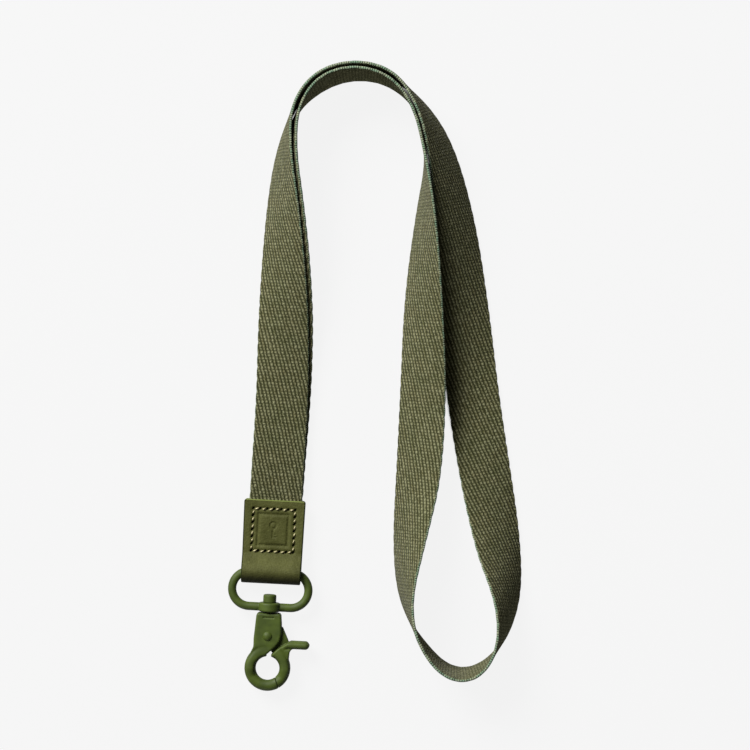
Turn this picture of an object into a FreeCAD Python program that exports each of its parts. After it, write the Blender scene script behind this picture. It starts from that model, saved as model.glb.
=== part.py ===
import FreeCAD, Part
import math
import os

import Sketcher

# Neck lanyard: one strip of flat webbing whose two ends are sewn into a folded leather patch.
# The patch holds an oval ring, and a trigger snap hook turns on a stud in the ring's boss.
# Frame: the floor is z = 0, +X runs along the ring's bar, +Y from the hook towards the patch.
# The origin is under the middle of the hardware (patch, ring and hook). Sizes are millimetres.

DIMENSIONS = {
    # webbing and its sewn end
    "webbing_width": 20.0,
    "webbing_thickness": 1.2,
    # leather patch, folded round the ring's bar
    "leather_thickness": 1.4,
    "patch_width": 24.0,
    "patch_mouth": 36.5,
    "patch_corner": 1.0,
    "mouth_half_width": 11.7,
    "fold_half_width": 11.25,
    "fold_middle": 9.0,
    "fold_outside": 4.5,
    "fold_end": 10.6,
    "flat_start": 15.4,
    "patch_top": 5.4,
    "sewn_space": 4.0,
    "slope_radius": 3.0,
    # box of stitches through the patch
    "stitch_half_width": 8.0,
    "stitch_low": 16.9,
    "stitch_high": 33.1,
    "thread_radius": 0.3,
    "thread_bite": 0.06,
    "thread_meeting": 2.7,
    # oval ring with a boss for the swivel
    "axis_height": 4.5,
    "hinge_line": 9.0,
    "ring_middle": 2.3,
    "ring_end_radius": 6.7,
    "ring_half_straight": 7.9,
    "ring_straight": 15.8,
    "wire_radius": 1.6,
    "boss_radius": 4.2,
    "boss_length": 3.4,
    "boss_low": -6.1,
    "boss_rounding": 0.7,
    "bore_radius": 1.56,
    # headed stud of the swivel
    "stud_radius": 1.5,
    "stud_low": -9.3,
    "stud_shoulder": -2.6,
    "stud_head_radius": 2.5,
    "stud_head_top": 0.4,
    "stud_rounding": 0.6,
    # snap hook: body, eye, slot for the trigger
    "hook_thickness": 6.0,
    "body_top": -6.6,
    "eye_across": 0.5,
    "eye_along": -27.7,
    "eye_radius": 4.5,
    "hook_radius": 8.8,
    "nose_middle_radius": 6.66,
    "nose_bar_radius": 2.13,
    "slot_width": 2.8,
    "edge_rounding": 0.7,
    "flank_rounding": 4.0,
    "cap_rounding": 1.2,
    "nose_rounding": 3.0,
    "tip_rounding": 0.4,
    "groove_half_width": 2.2,
    "groove_place": -8.5,
    "groove_width": 0.55,
    "groove_depth": 0.35,
    # trigger: gate, thumb lever and the tang in the slot
    "gate_thickness": 5.6,
    "tang_thickness": 2.4,
    "tang_eye_radius": 2.6,
    "lever_low": -20.0,
    "lever_high": -16.8,
    "lever_tip": 16.1,
    "lever_rounding": 1.3,
    "gate_rounding": 0.6,
    # pivot rivet of the trigger
    "pin_along": -15.3,
    "pin_radius": 1.1,
    "pin_clearance": 0.06,
    "pin_head_radius": 1.85,
    "pin_head_low": 3.0,
    "pin_head_top": 3.85,
    "pin_head_rounding": 0.7,
    # closing spring between body and tang
    "spring_along": -12.0,
    "spring_seat": -4.2,
    "spring_length": 3.0,
    "spring_radius": 0.85,
    "spring_wire_radius": 0.15,
    "spring_pitch": 0.66,
    "spring_pocket_radius": 1.15,
}

# Centre line of the webbing from its upper end in the patch, round the loop, to its lower end.
# Each row is x, y, the height of the lower selvedge, and the lean in degrees: at 0 the strip
# lies flat, at 90 it stands on edge, and the right-hand selvedge is the one that rises.
WEBBING_ROUTE = [
    (0.0, 14.5, 2.8, 0), (0.3, 45.0, 2.8, 0), (0.7, 75.5, 1.9, 3), (-0.2, 100.0, 1.8, 12),
    (-1.3, 124.0, 1.6, 31), (-2.7, 149.0, 1.2, 52), (-3.5, 169.0, 0.8, 72),
    (-1.5, 186.0, 0.4, 88), (7.7, 198.2, 0.3, 96), (22.0, 203.0, 0.3, 97),
    (36.8, 200.8, 0.3, 91), (48.1, 190.0, 0.3, 76), (56.3, 174.0, 0.3, 58),
    (63.7, 146.0, 0.3, 42), (68.9, 112.0, 0.3, 20), (73.7, 80.0, 0.3, 0),
    (79.8, 51.0, 0.3, 9), (85.6, 26.5, 0.3, 26), (90.4, 6.0, 0.3, 54),
    (89.9, -8.6, 0.3, 73), (85.9, -18.7, 0.3, 86), (79.8, -24.6, 0.3, 94),
    (73.1, -25.9, 0.3, 97), (66.7, -23.4, 0.3, 97), (60.7, -17.4, 0.3, 95),
    (54.9, -8.8, 0.3, 88), (51.3, 4.5, 0.3, 74), (51.9, 24.0, 0.3, 54),
    (54.5, 52.0, 0.3, 31), (54.4, 82.0, 0.3, 31), (52.5, 116.0, 0.3, 46),
    (51.4, 148.0, 0.3, 67), (49.9, 171.5, 0.3, 89), (45.1, 188.4, 0.3, 92),
    (35.4, 198.7, 0.3, 88), (21.9, 201.0, 0.3, 83), (9.3, 196.4, 0.3, 82),
    (1.1, 185.3, 0.3, 90), (-1.5, 169.0, 0.3, 108), (-0.7, 149.0, 0.3, 128),
    (0.6, 124.0, 0.3, 149), (1.5, 100.0, 0.3, 168), (1.6, 75.5, 0.3, 178),
    (0.6, 45.0, 1.4, 180), (0.0, 14.5, 1.4, 180),
]
ARC_SHARE = 0.45      # part of the shorter run that each rounded corner takes up
ARC_STEP = 9.0        # degrees of turn from one section of the webbing to the next
STITCHES_ACROSS = 6
STITCHES_ALONG = 6
NOSE_START = 214      # degrees round the eye, from +X, where the round nose leaves the flat part
NOSE_SWEEP = 110

doc = FreeCAD.newDocument("lanyard")
Vector = FreeCAD.Vector


# ---------------------------------------------------------------- sheet and helpers
def make_sheet():
    sheet = doc.addObject("Spreadsheet::Sheet", "dims")
    for row, (name, value) in enumerate(DIMENSIONS.items(), start=1):
        sheet.set(f"A{row}", name)
        sheet.set(f"B{row}", str(value))
        sheet.setAlias(f"B{row}", name)
    doc.recompute()
    return sheet


dims = make_sheet()


def is_sign(word):
    return word in ("+", "-")


def is_number(word):
    return word[0].isdigit()


def amount(text):
    """The value of a sum such as "hook_radius + 2 - slot_width"."""
    total, sign = 0.0, 1.0
    for word in text.split():
        if is_sign(word):
            sign = 1.0 if word == "+" else -1.0
        else:
            total += sign * (float(word) if is_number(word) else dims.get(word))
    return total


def formula(text):
    """The same sum as an expression on the sheet."""
    words = [w if is_sign(w) or is_number(w) else "dims." + w for w in text.split()]
    return " ".join(words)


def new_body(label, height="0"):
    body = doc.addObject("PartDesign::Body", label)
    body.Label = label
    body.setExpression("Placement.Base.z", formula(height))
    return body


def new_sketch(body, plane="XY_Plane"):
    sketch = body.newObject("Sketcher::SketchObject", body.Label + "_sketch")
    origin = [f for f in body.Origin.OriginFeatures if f.Role == plane][0]
    sketch.AttachmentSupport = (origin, "")
    sketch.MapMode = "FlatFace"
    return sketch


def fix_point(sketch, geometry, place, across, along):
    for kind, text in (("DistanceX", across), ("DistanceY", along)):
        number = sketch.addConstraint(Sketcher.Constraint(kind, geometry, place, amount(text)))
        sketch.setExpression(f"Constraints[{number}]", formula(text))


def add_outline(sketch, corners):
    """A closed outline of straight lines through the corners, each fixed by the sheet."""
    points = [Vector(amount(across), amount(along), 0) for across, along in corners]
    count = len(points)
    for i in range(count):
        sketch.addGeometry(Part.LineSegment(points[i], points[(i + 1) % count]), False)
    for i in range(count):
        sketch.addConstraint(Sketcher.Constraint("Coincident", i, 2, (i + 1) % count, 1))
        fix_point(sketch, i, 1, *corners[i])


def add_circle(sketch, across, along, radius):
    middle = Vector(amount(across), amount(along), 0)
    circle = Part.Circle(middle, Vector(0, 0, 1), amount(radius))
    geometry = sketch.addGeometry(circle, False)
    fix_point(sketch, geometry, 3, across, along)
    number = sketch.addConstraint(Sketcher.Constraint("Radius", geometry, amount(radius)))
    sketch.setExpression(f"Constraints[{number}]", formula(radius))


def add_feature(body, kind, sketch, length, label):
    """A pad or a pocket, as deep on one side of its sketch as on the other."""
    feature = body.newObject("PartDesign::" + kind, label)
    feature.Profile = sketch
    feature.SideType = "Symmetric"
    feature.setExpression("Length", formula(length))
    doc.recompute()
    return feature


def outline_feature(body, kind, corners, length, label):
    sketch = new_sketch(body)
    add_outline(sketch, corners)
    return add_feature(body, kind, sketch, length, label)


def turned_feature(body, corners, label, plane="XY_Plane"):
    """A half profile turned about the sketch's own vertical axis."""
    sketch = new_sketch(body, plane)
    add_outline(sketch, corners)
    feature = body.newObject("PartDesign::Revolution", label)
    feature.Profile = sketch
    feature.ReferenceAxis = (sketch, ["V_Axis"])
    feature.Angle = 360
    doc.recompute()
    return feature


def round_edges(body, wanted, radius, label):
    """Rounds the edges of the body's latest feature for which wanted(edge) is true."""
    base = body.Tip
    names = [f"Edge{i}" for i, edge in enumerate(base.Shape.Edges, start=1) if wanted(edge)]
    fillet = body.newObject("PartDesign::Fillet", label)
    fillet.Base = (base, names)
    fillet.setExpression("Radius", formula(radius))
    doc.recompute()
    return fillet


def lies_at_height(edge, height):
    box = edge.BoundBox
    return abs(box.ZMin - height) < 1e-4 and abs(box.ZMax - height) < 1e-4


def is_upright_at(edge, across, along, reach=0.3):
    """True for a straight edge along Z that stands at this place."""
    box = edge.BoundBox
    upright = box.XLength < 1e-4 and box.YLength < 1e-4
    return upright and math.hypot(box.XMin - across, box.YMin - along) < reach


def round_corners(body, places, radius, label):
    """Rounds the upright edges that stand at these places."""
    def wanted(edge):
        return any(is_upright_at(edge, x, y) for x, y in places)

    return round_edges(body, wanted, radius, label)


def round_faces(body, thickness, radius, label):
    """Rounds the whole outline of the front and the back face."""
    face = amount(thickness) / 2

    def wanted(edge):
        return lies_at_height(edge, face) or lies_at_height(edge, -face)

    return round_edges(body, wanted, radius, label)


# ---------------------------------------------------------------- leather patch
INNER_BEND = 3        # outline corner where the half circle inside the fold starts
OUTER_BEND = 11       # outline corner where the half circle outside the fold starts


def leather_outline(sketch):
    """Side view of the folded leather: y is along the patch, z is its height."""
    top = "fold_outside + fold_outside"
    corners = [
        ("fold_middle", "0"), ("patch_mouth", "0"), ("patch_mouth", "leather_thickness"),
        ("fold_middle", "leather_thickness"),
        ("fold_middle", top + " - leather_thickness"),
        ("fold_end", top + " - leather_thickness"), ("flat_start", "sewn_space"),
        ("patch_mouth", "sewn_space"), ("patch_mouth", "patch_top"),
        ("flat_start", "patch_top"), ("fold_end", top), ("fold_middle", top),
    ]
    bends = {INNER_BEND: "fold_outside - leather_thickness", OUTER_BEND: "fold_outside"}
    middle = Vector(amount("fold_middle"), amount("fold_outside"), 0)
    points = [Vector(amount(along), amount(height), 0) for along, height in corners]
    count = len(points)
    for i in range(count):
        if i in bends:
            circle = Part.Circle(middle, Vector(0, 0, 1), amount(bends[i]))
            side = Part.ArcOfCircle(circle, math.pi / 2, 3 * math.pi / 2)
        else:
            side = Part.LineSegment(points[i], points[(i + 1) % count])
        sketch.addGeometry(side, False)
    # a half circle starts at its upper end, so the inner one runs against the outline
    for i in range(count):
        after = (i + 1) % count
        end = 1 if i == INNER_BEND else 2
        start = 2 if after == INNER_BEND else 1
        sketch.addConstraint(Sketcher.Constraint("Coincident", i, end, after, start))
        fix_point(sketch, i, 2 if i == INNER_BEND else 1, *corners[i])


def is_slope_edge(edge):
    """True for the edges across the patch where the fold runs down to the flat part."""
    box = edge.BoundBox
    places = (amount("fold_end"), amount("flat_start"))
    above = box.ZMin > amount("sewn_space") - 0.1
    across = box.YLength < 1e-4 and box.ZLength < 1e-4
    return across and above and min(abs(box.YMin - y) for y in places) < 0.1


def make_leather_wrap():
    """A strap of leather, sewn flat over the webbing ends and bulging round the ring's bar."""
    body = new_body("leather_wrap")
    sketch = new_sketch(body, "YZ_Plane")
    leather_outline(sketch)
    add_feature(body, "Pad", sketch, "patch_width", "leather_strip")
    round_edges(body, is_slope_edge, "slope_radius", "leather_slopes")

    for side, sign in (("right", ""), ("left", "0 - ")):
        waste = [(sign + "mouth_half_width", "patch_mouth"), (sign + "fold_half_width", "0"),
                 (sign + "patch_width", "0"), (sign + "patch_width", "patch_mouth")]
        depth = "fold_outside + fold_outside + fold_outside + fold_outside + 2"
        outline_feature(body, "Pocket", waste, depth, f"{side}_side_cut")

    def is_mouth_corner(edge):
        box = edge.BoundBox
        upright = box.XLength < 1e-4 and box.YLength < 1e-4
        return upright and abs(box.YMin - amount("patch_mouth")) < 1e-4

    round_edges(body, is_mouth_corner, "patch_corner", "leather_corners")
    return body


# ---------------------------------------------------------------- stitches
def stitch_holes():
    """The holes of the box of stitches, in order round it."""
    left, low = -amount("stitch_half_width"), amount("stitch_low")
    step_x = 2 * amount("stitch_half_width") / STITCHES_ACROSS
    step_y = (amount("stitch_high") - low) / STITCHES_ALONG
    right, high = -left, amount("stitch_high")
    holes = [(left + i * step_x, low) for i in range(STITCHES_ACROSS)]
    holes += [(right, low + i * step_y) for i in range(STITCHES_ALONG)]
    holes += [(right - i * step_x, high) for i in range(STITCHES_ACROSS)]
    holes += [(left, high - i * step_y) for i in range(STITCHES_ALONG)]
    return holes


def make_thread(label, lying):
    """One thread of the lockstitch: it lies on the leather at the height given, and at every
    hole it goes down to where it meets the other thread between the webbing layers."""
    radius, meeting = amount("thread_radius"), amount("thread_meeting")
    holes = stitch_holes()
    pieces = []
    for i, (x, y) in enumerate(holes):
        after = holes[(i + 1) % len(holes)]
        corner = Vector(x, y, lying)
        run = Vector(after[0] - x, after[1] - y, 0)
        down = Vector(0, 0, meeting - lying)
        pieces.append(Part.makeCylinder(radius, run.Length, corner, run))
        pieces.append(Part.makeCylinder(radius, down.Length, corner, down))
        pieces.append(Part.makeSphere(radius, corner))
    thread = doc.addObject("Part::Feature", label)
    thread.Label = label
    thread.Shape = pieces[0].multiFuse(pieces[1:]).Solids[0]
    thread.Placement = FreeCAD.Placement()
    return thread


# ---------------------------------------------------------------- oval ring
def place(feature, x, y, axis, turn):
    """Puts a primitive at the ring's height. Its x and y are sums on the sheet."""
    feature.Placement = FreeCAD.Placement(Vector(0, 0, 0), FreeCAD.Rotation(axis, turn))
    feature.setExpression("Placement.Base.x", formula(x))
    feature.setExpression("Placement.Base.y", formula(y))
    feature.setExpression("Placement.Base.z", formula("axis_height"))


def ring_end(name, x, turn):
    end = doc.addObject("Part::Torus", name)
    end.setExpression("Radius1", formula("ring_end_radius"))
    end.setExpression("Radius2", formula("wire_radius"))
    end.Angle3 = 180
    place(end, x, "ring_middle", Vector(0, 0, 1), turn)
    return end


def ring_bar(name, y):
    bar = doc.addObject("Part::Cylinder", name)
    bar.setExpression("Radius", formula("wire_radius"))
    bar.setExpression("Height", formula("ring_straight"))
    place(bar, "0 - ring_half_straight", y, Vector(0, 1, 0), 90)
    return bar


def ring_cylinder(name, radius, length, low):
    """A cylinder along the swivel axis."""
    cylinder = doc.addObject("Part::Cylinder", name)
    cylinder.setExpression("Radius", formula(radius))
    cylinder.setExpression("Height", formula(length))
    place(cylinder, "0", low, Vector(1, 0, 0), -90)
    return cylinder


def make_swivel_ring():
    """Round wire bent to an oval, closed by a boss that is bored for the stud."""
    boss = ring_cylinder("boss_blank", "boss_radius", "boss_length", "boss_low")
    doc.recompute()
    rounded = doc.addObject("Part::Fillet", "boss")
    rounded.Base = boss
    radius = amount("boss_rounding")
    rims = [i for i, e in enumerate(boss.Shape.Edges, start=1) if e.Closed and e.Length > radius]
    rounded.Edges = [(i, radius, radius) for i in rims]
    whole = doc.addObject("Part::MultiFuse", "ring_blank")
    whole.Shapes = [
        ring_end("ring_right_end", "ring_half_straight", -90),
        ring_end("ring_left_end", "0 - ring_half_straight", 90),
        ring_bar("ring_hinge_bar", "ring_middle + ring_end_radius"),
        ring_bar("ring_lower_bar", "ring_middle - ring_end_radius"),
        rounded,
    ]
    ring = doc.addObject("Part::Cut", "swivel_ring")
    ring.Label = "swivel_ring"
    ring.Base = whole
    ring.Tool = ring_cylinder("bore", "bore_radius", "boss_length + 2", "boss_low - 1")
    doc.recompute()
    return ring


# ---------------------------------------------------------------- swivel stud and pivot pin
def make_swivel_stud():
    """The stud that the hook hangs from: pressed in the hook's body, headed above the boss."""
    body = new_body("swivel_stud", "axis_height")
    corners = [
        ("0", "stud_low"), ("stud_radius", "stud_low"), ("stud_radius", "stud_shoulder"),
        ("stud_head_radius", "stud_shoulder"), ("stud_head_radius", "stud_head_top"),
        ("0", "stud_head_top"),
    ]
    turned_feature(body, corners, "stud_turned")

    def is_head_rim(edge):
        box = edge.BoundBox
        top = amount("stud_head_top")
        return edge.Closed and abs(box.YMin - top) < 1e-4 and abs(box.YMax - top) < 1e-4

    round_edges(body, is_head_rim, "stud_rounding", "stud_head_round")
    return body


def make_trigger_pin():
    """Rivet through both cheeks of the body, with a domed head on each side."""
    body = new_body("trigger_pin", "axis_height")
    body.setExpression("Placement.Base.y", formula("pin_along"))
    corners = [
        ("0", "0 - pin_head_top"), ("pin_head_radius", "0 - pin_head_top"),
        ("pin_head_radius", "0 - pin_head_low"), ("pin_radius", "0 - pin_head_low"),
        ("pin_radius", "pin_head_low"), ("pin_head_radius", "pin_head_low"),
        ("pin_head_radius", "pin_head_top"), ("0", "pin_head_top"),
    ]
    turned_feature(body, corners, "pin_turned", "XZ_Plane")
    top = amount("pin_head_top")

    def is_head_rim(edge):
        return edge.Closed and (lies_at_height(edge, top) or lies_at_height(edge, -top))

    round_edges(body, is_head_rim, "pin_head_rounding", "pin_domes")
    return body


# ---------------------------------------------------------------- hook body
def hollow_cylinder(body, name, radius, length, x, y, axis, turn):
    """Cuts a round hole that starts at x, y in the body's middle plane."""
    hole = body.newObject("PartDesign::SubtractiveCylinder", name)
    hole.setExpression("Radius", formula(radius))
    hole.setExpression("Height", formula(length))
    hole.Placement = FreeCAD.Placement(
        Vector(amount(x), amount(y), 0), FreeCAD.Rotation(axis, turn)
    )
    doc.recompute()
    return hole


def add_round_nose(body):
    """The hook's nose: a round bar bent about the eye, from the flat part to the gate."""
    nose = body.newObject("PartDesign::AdditiveTorus", "round_nose")
    nose.setExpression("Radius1", formula("nose_middle_radius"))
    nose.setExpression("Radius2", formula("nose_bar_radius"))
    nose.Angle3 = NOSE_SWEEP
    nose.Placement = FreeCAD.Placement(
        Vector(amount("eye_across"), amount("eye_along"), 0),
        FreeCAD.Rotation(Vector(0, 0, 1), NOSE_START),
    )
    doc.recompute()
    return nose


def make_clasp_body():
    """Die-cast hook: two cheeks joined by a spine, running into the curved hook."""
    body = new_body("clasp_body", "axis_height")
    ring = new_sketch(body)
    add_circle(ring, "eye_across", "eye_along", "hook_radius")
    add_circle(ring, "eye_across", "eye_along", "eye_radius")
    add_feature(body, "Pad", ring, "hook_thickness", "hook_ring")
    nose_space = [("eye_across", "eye_along"), ("0 - 9", "0 - 36.6"), ("0 - 9", "0 - 40"),
                  ("13", "0 - 40"), ("13", "eye_along")]
    outline_feature(body, "Pocket", nose_space, "hook_thickness + 2", "nose_space")
    add_round_nose(body)
    mouth = [("0 - 0.1", "0 - 22"), ("0.1", "0 - 27.7"), ("3.4", "0 - 31"),
             ("6.2", "0 - 37.6"), ("13", "0 - 37.6"), ("13", "0 - 12"), ("3", "0 - 12")]
    outline_feature(body, "Pocket", mouth, "hook_thickness + 2", "hook_mouth")
    cheek = [("0 - 4.65", "body_top"), ("0 - 5.3", "0 - 16.5"), ("0 - 5.2", "0 - 19.6"),
             ("0 - 7.2", "0 - 24"), ("0 - 3", "0 - 23.8"), ("0 - 0.1", "0 - 22.4"),
             ("3.2", "0 - 19.2"), ("4.7", "0 - 17"), ("5.2", "0 - 14.2"),
             ("5.1", "0 - 11"), ("4.65", "body_top")]
    outline_feature(body, "Pad", cheek, "hook_thickness", "cheeks")

    round_corners(body, [(-5.2, -19.6)], "flank_rounding", "flank_blend")
    round_corners(body, [(-4.65, -6.6), (4.65, -6.6)], "cap_rounding", "cap_corners")
    nose = [(5.2, -14.2), (4.7, -17.0), (3.2, -19.2)]
    round_corners(body, nose, "nose_rounding", "nose_blend")
    small = [(-0.1, -22.4), (-0.06, -23.23), (-2.79, -30.77), (-5.94, -33.7)]
    round_corners(body, small, "tip_rounding", "tip_corners")
    round_faces(body, "hook_thickness", "edge_rounding", "casting_edges")
    slot = [("0 - 3.3", "0 - 18"), ("0.4", "0 - 23.4"), ("9", "0 - 26"), ("9", "0 - 12"),
            ("6.5", "0 - 10.2"), ("3.4", "0 - 9.2"), ("0 - 1.2", "0 - 9.6"),
            ("0 - 3.3", "0 - 11.5")]
    outline_feature(body, "Pocket", slot, "slot_width", "trigger_slot")
    bore = new_sketch(body)
    add_circle(bore, "0", "pin_along", "pin_radius")
    add_feature(body, "Pocket", bore, "hook_thickness + 2", "pin_bore")
    hollow_cylinder(body, "stud_socket", "stud_radius", "body_top - stud_low",
                    "0", "stud_low", Vector(1, 0, 0), -90)
    hollow_cylinder(body, "spring_pocket", "spring_pocket_radius", "1.5",
                    "spring_seat", "spring_along", Vector(0, 1, 0), 90)
    groove = body.newObject("PartDesign::SubtractiveBox", "cap_groove")
    groove.setExpression("Length", formula("groove_half_width + groove_half_width"))
    groove.setExpression("Width", formula("groove_width"))
    groove.setExpression("Height", formula("groove_depth"))
    front = amount("hook_thickness") / 2
    groove.Placement.Base = Vector(
        -amount("groove_half_width"), amount("groove_place"), front - amount("groove_depth")
    )
    doc.recompute()
    return body


# ---------------------------------------------------------------- trigger
def make_trigger_lever():
    """Gate that closes the hook, with a thumb lever and a thinner tang on the pivot pin."""
    body = new_body("trigger_lever", "axis_height")
    ring = new_sketch(body)
    add_circle(ring, "eye_across", "eye_along", "hook_radius - 0.05")
    add_circle(ring, "eye_across", "eye_along", "eye_radius + 0.05")
    add_feature(body, "Pad", ring, "gate_thickness", "gate_ring")
    away = [("1.6", "0 - 22.6"), ("2.2", "0 - 27.7"), ("3.6", "0 - 30.9"), ("6.4", "0 - 37.6"),
            ("0 - 12", "0 - 37.6"), ("0 - 12", "0 - 12"), ("9", "0 - 12"), ("9", "0 - 17"),
            ("3.9", "0 - 20.1")]
    outline_feature(body, "Pocket", away, "gate_thickness + 2", "gate_ends")
    lever = [("1.7", "0 - 22.5"), ("3.9", "0 - 20.1"), ("7.4", "0 - 17.9"), ("8.9", "lever_high"),
             ("lever_tip", "lever_high"), ("lever_tip", "lever_low"), ("9.3", "lever_low"),
             ("8.6", "0 - 21.4"), ("8.5", "0 - 24.6"), ("5", "0 - 25.4"), ("2.4", "0 - 23.2")]
    outline_feature(body, "Pad", lever, "gate_thickness", "thumb_lever")

    tip, low, high = amount("lever_tip"), amount("lever_low"), amount("lever_high")
    round_corners(body, [(tip, low), (tip, high), (9.3, low)], "lever_rounding", "lever_corners")
    round_faces(body, "gate_thickness", "gate_rounding", "casting_edges")
    tang = [("0 - 1", "0 - 13.2"), ("0 - 1", "0 - 10.8"), ("2", "0 - 10.4"), ("5.6", "0 - 11.9"),
            ("6.6", "0 - 14"), ("8.3", "0 - 17.6"), ("6", "0 - 21"), ("2.2", "0 - 21.9"),
            ("0 - 2.1", "0 - 16.8"), ("0 - 2", "0 - 15.3")]
    outline_feature(body, "Pad", tang, "tang_thickness", "tang")
    eye = new_sketch(body)
    add_circle(eye, "0", "pin_along", "tang_eye_radius")
    add_feature(body, "Pad", eye, "tang_thickness", "tang_eye")
    bore = new_sketch(body)
    add_circle(bore, "0", "pin_along", "pin_radius + pin_clearance")
    add_feature(body, "Pocket", bore, "tang_thickness + 2", "tang_bore")
    return body


def make_trigger_spring():
    """Small coil spring between the body's pocket and the tang: it keeps the gate shut."""
    turns = (amount("spring_length") - 2 * amount("spring_wire_radius")) / amount("spring_pitch")
    radius, wire_radius = amount("spring_radius"), amount("spring_wire_radius")
    height = turns * amount("spring_pitch")
    helix = Part.makeHelix(amount("spring_pitch"), height, radius)
    section = Part.Wire([Part.Circle(Vector(radius, 0, 0), Vector(0, 1, 0), wire_radius).toShape()])
    coil = Part.Wire(helix).makePipeShell([section], True, True)
    spring = doc.addObject("Part::Feature", "trigger_spring")
    spring.Label = "trigger_spring"
    spring.Shape = coil
    start = Vector(amount("spring_seat") + wire_radius, amount("spring_along"), amount("axis_height"))
    spring.Placement = FreeCAD.Placement(start, FreeCAD.Rotation(Vector(0, 1, 0), 90))
    return spring


# ---------------------------------------------------------------- webbing
def route_stations():
    """Corner points of the webbing's centre line, and the way from its low to its high edge."""
    half, thick = amount("webbing_width") / 2, amount("webbing_thickness") / 2
    flat = [Vector(x, y, 0) for x, y, _, _ in WEBBING_ROUTE]
    last = len(flat) - 1
    corners = []
    for i, (x, y, lift, lean) in enumerate(WEBBING_ROUTE):
        ahead = flat[min(i + 1, last)] - flat[max(i - 1, 0)]
        right = Vector(ahead.y, -ahead.x, 0).normalize()
        turn = math.radians(lean)
        rise = right * math.cos(turn) + Vector(0, 0, math.sin(turn))
        height = lift + half * math.sin(turn) + thick * abs(math.cos(turn))
        corners.append((Vector(x, y, height), rise))
    return corners


def corner_arc(before, corner, after):
    """Radius, centre line points and directions of the tangent arc that rounds one corner."""
    back, front = before - corner, after - corner
    shorter = min(back.Length, front.Length)
    back.normalize()
    front.normalize()
    turn = math.pi - back.getAngle(front)
    radius = ARC_SHARE * shorter / math.tan(turn / 2)
    middle_way = (back + front).normalize()
    centre = corner + middle_way * (radius / math.cos(turn / 2))
    steps = max(1, round(math.degrees(turn) / ARC_STEP))
    out = middle_way * -1
    along = (front - back).normalize()
    stations = []
    for k in range(steps + 1):
        angle = turn * (k / steps - 0.5)
        point = centre + (out * math.cos(angle) + along * math.sin(angle)) * radius
        direction = along * math.cos(angle) - out * math.sin(angle)
        stations.append((point, direction))
    return radius, stations


def webbing_section(point, direction, rise):
    """The webbing's rectangle, square to its direction."""
    rise = (rise - direction * rise.dot(direction)).normalize()
    normal = direction.cross(rise)
    across = rise * (amount("webbing_width") / 2)
    through = normal * (amount("webbing_thickness") / 2)
    ring = [point + across + through, point - across + through,
            point - across - through, point + across - through]
    return Part.makePolygon(ring + ring[:1])


def make_webbing_strap():
    """One strip: straight runs joined by tangent arcs, leaning as the route says."""
    corners = route_stations()
    first, last = corners[0], corners[-1]
    path = [(first[0], (corners[1][0] - first[0]).normalize(), first[1])]
    radii = []
    for i in range(1, len(corners) - 1):
        before, here, after = corners[i - 1][0], corners[i][0], corners[i + 1][0]
        radius, stations = corner_arc(before, here, after)
        radii.append(radius)
        for k, (point, direction) in enumerate(stations):
            share = k / (len(stations) - 1) - 0.5
            neighbour = corners[i + 1][1] if share > 0 else corners[i - 1][1]
            blend = abs(share) * 2 * ARC_SHARE
            rise = corners[i][1] * (1 - blend) + neighbour * blend
            path.append((point, direction, rise))
    path.append((last[0], (last[0] - corners[-2][0]).normalize(), last[1]))
    length = sum((b[0] - a[0]).Length for a, b in zip(path, path[1:]))
    strap = doc.addObject("Part::Feature", "webbing_strap")
    strap.Label = "webbing_strap"
    strap.Shape = Part.makeLoft([webbing_section(*station) for station in path], True, True)
    strap.Placement = FreeCAD.Placement()
    report_webbing(strap.Shape, length, radii)
    return strap


def report_webbing(shape, length, radii):
    section = amount("webbing_width") * amount("webbing_thickness")
    print("webbing length", round(length, 1), "mm")
    print("webbing bend radii", [round(r, 1) for r in radii])
    print("webbing volume", round(shape.Volume, 1), "section x length", round(section * length, 1))


# ---------------------------------------------------------------- whole object
def check(parts):
    doc.recompute()
    for item in doc.Objects:
        if "Invalid" in item.State or "Error" in item.State:
            raise RuntimeError(f"{item.Name} failed: {item.State}")
    for part in parts:
        if part.Shape.isNull() or not part.Shape.isValid():
            raise RuntimeError(f"{part.Label} has no valid shape")
        print(part.Label, "solids", len(part.Shape.Solids), "volume", round(part.Shape.Volume, 2))


def export(parts):
    os.makedirs("parts", exist_ok=True)
    for part in parts:
        part.Shape.exportStep(f"parts/{part.Label}.step")


def main():
    lying_top = amount("patch_top + thread_radius - thread_bite")
    lying_low = amount("thread_radius")
    parts = [
        make_leather_wrap(),
        make_thread("needle_thread", lying_top),
        make_thread("bobbin_thread", lying_low),
        make_webbing_strap(),
        make_swivel_ring(),
        make_swivel_stud(),
        make_clasp_body(),
        make_trigger_lever(),
        make_trigger_pin(),
        make_trigger_spring(),
    ]
    check(parts)
    export(parts)


main()
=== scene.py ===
"""Neck lanyard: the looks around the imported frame. Metres, in the CAD's own frame."""

import math
import random

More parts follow.
